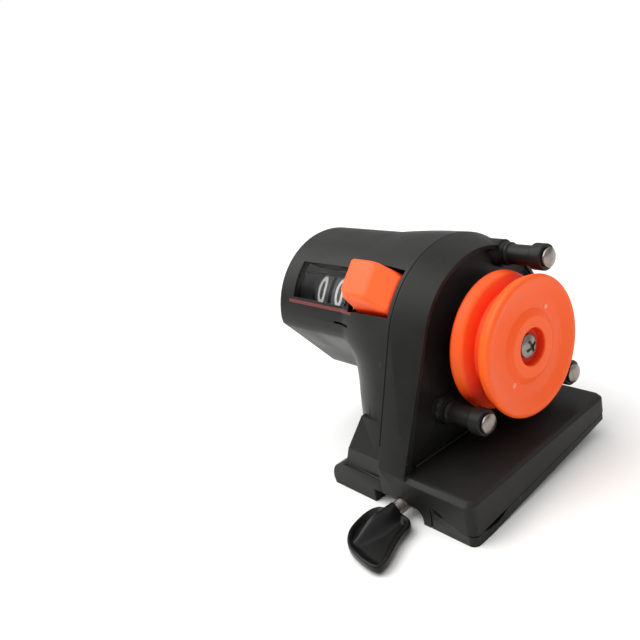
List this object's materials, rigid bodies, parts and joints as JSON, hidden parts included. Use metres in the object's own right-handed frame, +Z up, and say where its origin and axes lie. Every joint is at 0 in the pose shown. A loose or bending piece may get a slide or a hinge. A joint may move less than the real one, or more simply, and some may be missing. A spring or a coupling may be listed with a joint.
{
  "type": "fishing line counter",
  "caption": "Rod-clamped line counter: a grooved wheel between guide rollers turns number wheels behind a window, with a reset button and a screw-clamped jaw.",
  "frame": {"origin": "on the resting plane, straight under the line wheel's axis at the middle of its groove; the mount stand is there", "axes": "+X along the wheel's axle from the counter towards the wheel's face, +Y along the rod from the clamp paddle to the rear, +Z up"},
  "size_m": [0.0926, 0.0962, 0.0692],
  "materials": {
    "black_abs": "moulded, satin",
    "gloss_black": "moulded, gloss",
    "orange_abs": "moulded, satin",
    "steel": "turned",
    "brass": "turned",
    "white_acetal": "moulded",
    "grey_acetal": "moulded",
    "rubber": "moulded",
    "clear_lens": "clear, polished"
  },
  "bodies": {
    "frame": {"main_frame": "black_abs", "counter_housing": "black_abs", "window_lens": "clear_lens", "gear_plate": "steel", "gear_plate_screws": "steel", "housing_screws": "steel", "wheel_bush": "brass", "shaft_seal": "rubber", "guide_pin_top": "steel", "guide_pin_front": "steel", "guide_pin_rear": "steel", "base_pad": "rubber", "number_shaft": "steel", "carry_shaft": "steel", "lay_pin_1": "steel", "lay_pin_2": "steel", "clamp_nut": "steel", "reset_spring": "steel"},
    "line_wheel": {"line_wheel": "orange_abs", "wheel_axle": "steel", "wheel_washer": "steel", "wheel_screw": "steel", "axle_clip": "steel", "axle_pinion": "brass"},
    "roller_top": {"guide_roller_top": "black_abs"},
    "roller_front": {"guide_roller_front": "black_abs"},
    "roller_rear": {"guide_roller_rear": "black_abs"},
    "lay_gear_1": {"lay_gear_1": "white_acetal"},
    "lay_gear_2": {"lay_gear_2": "white_acetal"},
    "units": {"number_wheel_units": "grey_acetal"},
    "tens": {"number_wheel_tens": "grey_acetal"},
    "hundreds": {"number_wheel_hundreds": "grey_acetal"},
    "carry_tens": {"carry_pinion_tens": "white_acetal"},
    "carry_hundreds": {"carry_pinion_hundreds": "white_acetal"},
    "reset": {"reset_button": "orange_abs", "reset_comb": "white_acetal"},
    "jaw": {"rod_jaw": "black_abs", "jaw_pad": "rubber"},
    "clamp": {"clamp_bolt": "steel", "clamp_paddle": "gloss_black"}
  },
  "joints": [
    {"name": "line_wheel_spin", "type": "hinge", "parent": "frame", "child": "line_wheel", "pos_m": [0, 0, 0.0385], "axis": [1, 0, 0], "continuous": true},
    {"name": "roller_top_spin", "type": "hinge", "parent": "frame", "child": "roller_top", "pos_m": [0, 0.01278, 0.06045], "axis": [1, 0, 0], "continuous": true},
    {"name": "roller_front_spin", "type": "hinge", "parent": "frame", "child": "roller_front", "pos_m": [0, -0.02113, 0.02441], "axis": [1, 0, 0], "continuous": true},
    {"name": "roller_rear_spin", "type": "hinge", "parent": "frame", "child": "roller_rear", "pos_m": [0, 0.01882, 0.02144], "axis": [1, 0, 0], "continuous": true},
    {"name": "lay_gear_1_spin", "type": "hinge", "parent": "frame", "child": "lay_gear_1", "pos_m": [0, 0.01088, 0.03343], "axis": [1, 0, 0], "continuous": true},
    {"name": "lay_gear_2_spin", "type": "hinge", "parent": "frame", "child": "lay_gear_2", "pos_m": [0, 0.00869, 0.04523], "axis": [1, 0, 0], "continuous": true},
    {"name": "units_spin", "type": "hinge", "parent": "frame", "child": "units", "pos_m": [0, -0.00111, 0.04325], "axis": [1, 0, 0], "continuous": true},
    {"name": "tens_spin", "type": "hinge", "parent": "frame", "child": "tens", "pos_m": [0, -0.00111, 0.04325], "axis": [1, 0, 0], "continuous": true},
    {"name": "hundreds_spin", "type": "hinge", "parent": "frame", "child": "hundreds", "pos_m": [0, -0.00111, 0.04325], "axis": [1, 0, 0], "continuous": true},
    {"name": "carry_tens_spin", "type": "hinge", "parent": "frame", "child": "carry_tens", "pos_m": [0, 0.01784, 0.0466], "axis": [1, 0, 0], "continuous": true},
    {"name": "carry_hundreds_spin", "type": "hinge", "parent": "frame", "child": "carry_hundreds", "pos_m": [0, 0.01784, 0.0466], "axis": [1, 0, 0], "continuous": true},
    {"name": "reset_press", "type": "slide", "parent": "frame", "child": "reset", "axis": [0, 0.749, -0.6626], "range_m": [0, 0.0025], "stiffness_N_per_m": 400, "springref_m": -0.002, "deforming": ["reset_spring"]},
    {"name": "jaw_hinge", "type": "hinge", "parent": "frame", "child": "jaw", "pos_m": [-0.012, 0, 0.0039], "axis": [0, 1, 0], "range_deg": [0, 60]},
    {"name": "clamp_screw", "type": "hinge", "parent": "frame", "child": "clamp", "pos_m": [-0.012, 0, 0.0039], "axis": [0, 1, 0], "range_deg": [0, 360]}
  ],
  "couplings": [
    {"joint": "lay_gear_1_spin", "follows": "line_wheel_spin", "ratio": -0.2},
    {"joint": "lay_gear_2_spin", "follows": "line_wheel_spin", "ratio": 0.04},
    {"joint": "units_spin", "follows": "line_wheel_spin", "ratio": -0.01},
    {"joint": "tens_spin", "follows": "line_wheel_spin", "ratio": -0.001},
    {"joint": "hundreds_spin", "follows": "line_wheel_spin", "ratio": -0.0001},
    {"joint": "carry_tens_spin", "follows": "line_wheel_spin", "ratio": 0.0025},
    {"joint": "carry_hundreds_spin", "follows": "line_wheel_spin", "ratio": 0.00025}
  ]
}
